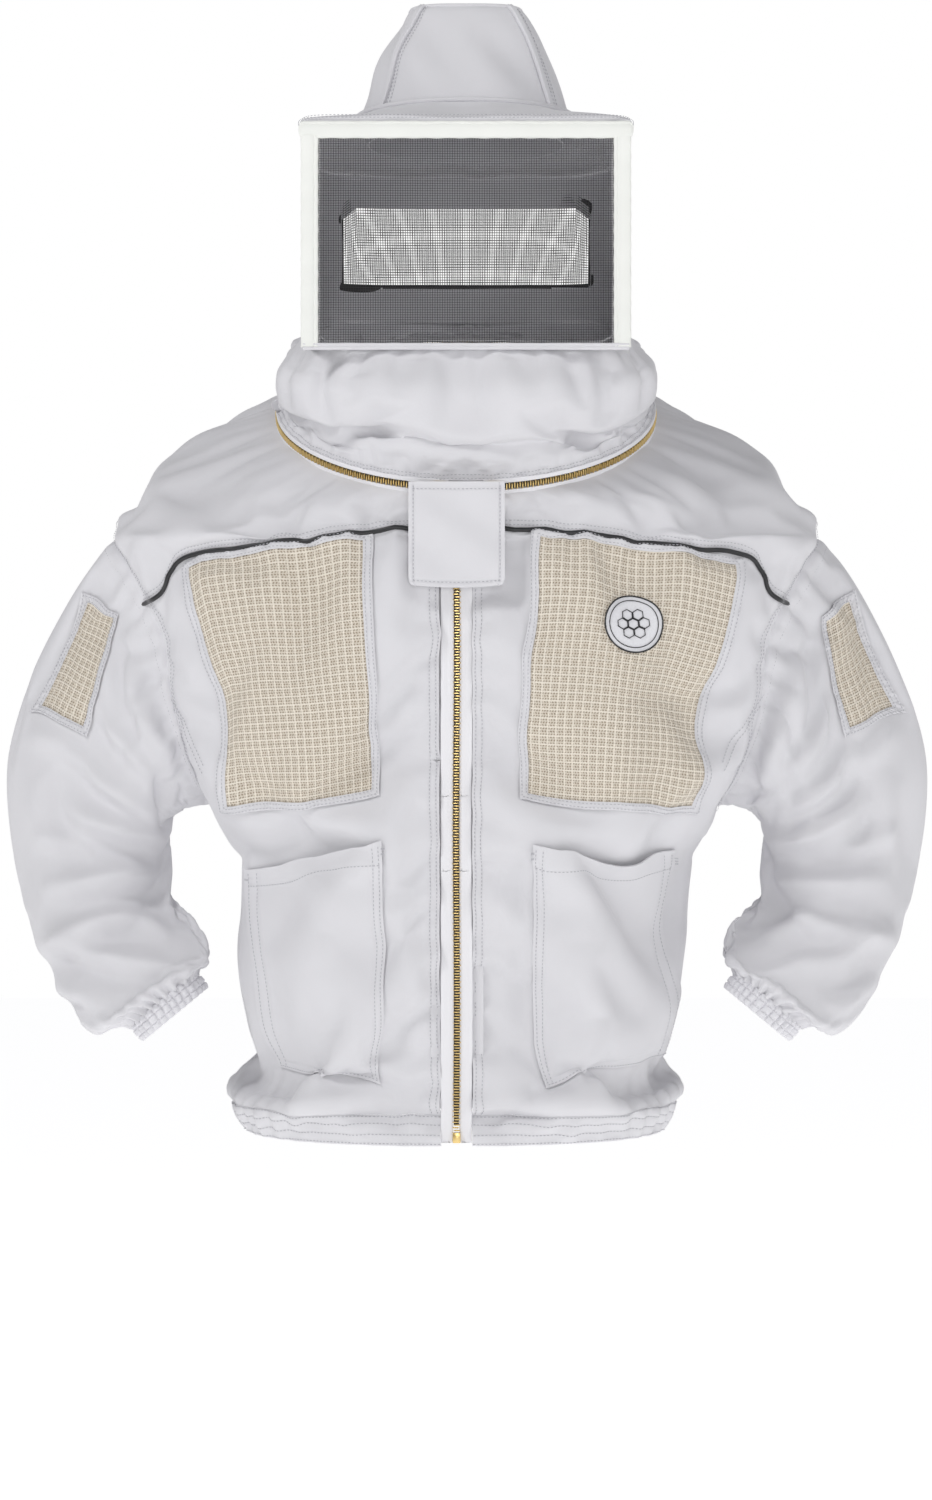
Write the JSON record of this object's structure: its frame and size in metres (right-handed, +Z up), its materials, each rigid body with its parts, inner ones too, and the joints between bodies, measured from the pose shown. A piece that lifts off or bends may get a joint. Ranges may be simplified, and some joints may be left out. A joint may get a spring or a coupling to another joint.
{
  "type": "beekeeping jacket with veil hood",
  "caption": "White ventilated beekeeping jacket with mesh panels, patch pockets, front zip and a zip-on square-veil hood with a hat crown.",
  "frame": {"origin": "centre of the neck ring, between the wearer's shoulders", "axes": "+Z up, -Y is the front of the garment, +X is the wearer's left"},
  "size_m": [0.832, 0.32, 1.0043],
  "materials": {
    "cotton": "matte white cotton drill",
    "binding": "matte bound cotton",
    "vent_mesh": "three-layer knitted spacer mesh, cream",
    "black_mesh": "fine black veil netting",
    "elastic": "gathered elastic casing",
    "piping": "glossy black corded piping",
    "zip_tape": "woven zip tape",
    "hook_pad": "hook-and-loop hooks",
    "brass": "polished brass zip metal",
    "wire": "spring steel wire"
  },
  "bodies": {
    "jacket": {"back_panel": "cotton", "back_yoke": "cotton", "chest_badge": "cotton", "chest_vent_left": "vent_mesh", "chest_vent_right": "vent_mesh", "cuff_elastic_left": "elastic", "cuff_elastic_right": "elastic", "cuff_left": "elastic", "cuff_right": "elastic", "front_panel_left": "cotton", "front_panel_right": "cotton", "front_yoke_left": "cotton", "front_yoke_right": "cotton", "front_zip_box": "brass", "front_zip_tape_left": "zip_tape", "front_zip_tape_right": "zip_tape", "front_zip_teeth_left": "brass", "front_zip_teeth_right": "brass", "neck_zip_tape_jacket": "zip_tape", "neck_zip_teeth_jacket": "brass", "piping_left": "piping", "piping_right": "piping", "pocket_left": "cotton", "pocket_right": "cotton", "sleeve_left": "cotton", "sleeve_right": "cotton", "sleeve_vent_left": "vent_mesh", "sleeve_vent_right": "vent_mesh", "waist_elastic": "elastic", "waistband_left": "cotton", "waistband_right": "cotton", "zip_placket": "cotton"},
    "hood": {"crown_back": "cotton", "crown_front": "cotton", "crown_left": "cotton", "crown_right": "cotton", "crown_top": "cotton", "hood_back": "cotton", "hood_brim": "cotton", "hood_collar": "cotton", "hood_side_left": "cotton", "hood_side_right": "cotton", "neck_zip_tape_hood": "zip_tape", "neck_zip_teeth_hood": "brass", "rear_mesh": "black_mesh", "side_mesh_left": "black_mesh", "side_mesh_right": "black_mesh", "sweatband": "elastic", "veil_binding_bottom": "binding", "veil_binding_left": "binding", "veil_binding_right": "binding", "veil_binding_top": "binding", "veil_frame_wire": "wire", "veil_screen": "black_mesh"},
    "neck_flap": {"neck_flap": "cotton", "flap_hook_pad": "hook_pad"},
    "front_slider": {"front_slider": "brass"},
    "front_slider_pull": {"front_slider_pull": "brass"},
    "neck_slider_left": {"neck_slider_left": "brass"},
    "neck_slider_right": {"neck_slider_right": "brass"}
  },
  "joints": [
    {"name": "hood_tip_back", "type": "hinge", "parent": "jacket", "child": "hood", "pos_m": [0, 0.156, 0.086], "axis": [-1, 0, 0], "range_deg": [0, 75]},
    {"name": "neck_flap_lift", "type": "hinge", "parent": "hood", "child": "neck_flap", "pos_m": [-0.008, -0.164, -0.0758], "axis": [-1, 0, 0], "range_deg": [0, 90]},
    {"name": "front_slider_travel", "type": "slide", "parent": "jacket", "child": "front_slider", "axis": [0, 0, -1], "range_m": [0, 0.52]},
    {"name": "front_pull_swing", "type": "hinge", "parent": "front_slider", "child": "front_slider_pull", "pos_m": [-0.008, -0.15435, -0.0993], "axis": [-1, 0, 0], "range_deg": [0, 10]},
    {"name": "neck_slider_left_travel", "type": "hinge", "parent": "jacket", "child": "neck_slider_left", "pos_m": [0, 0, 0], "axis": [0, -0.4695, 0.8829], "range_deg": [0, 150]},
    {"name": "neck_slider_right_travel", "type": "hinge", "parent": "jacket", "child": "neck_slider_right", "pos_m": [0, 0, 0], "axis": [0, 0.4695, -0.8829], "range_deg": [0, 150]}
  ]
}
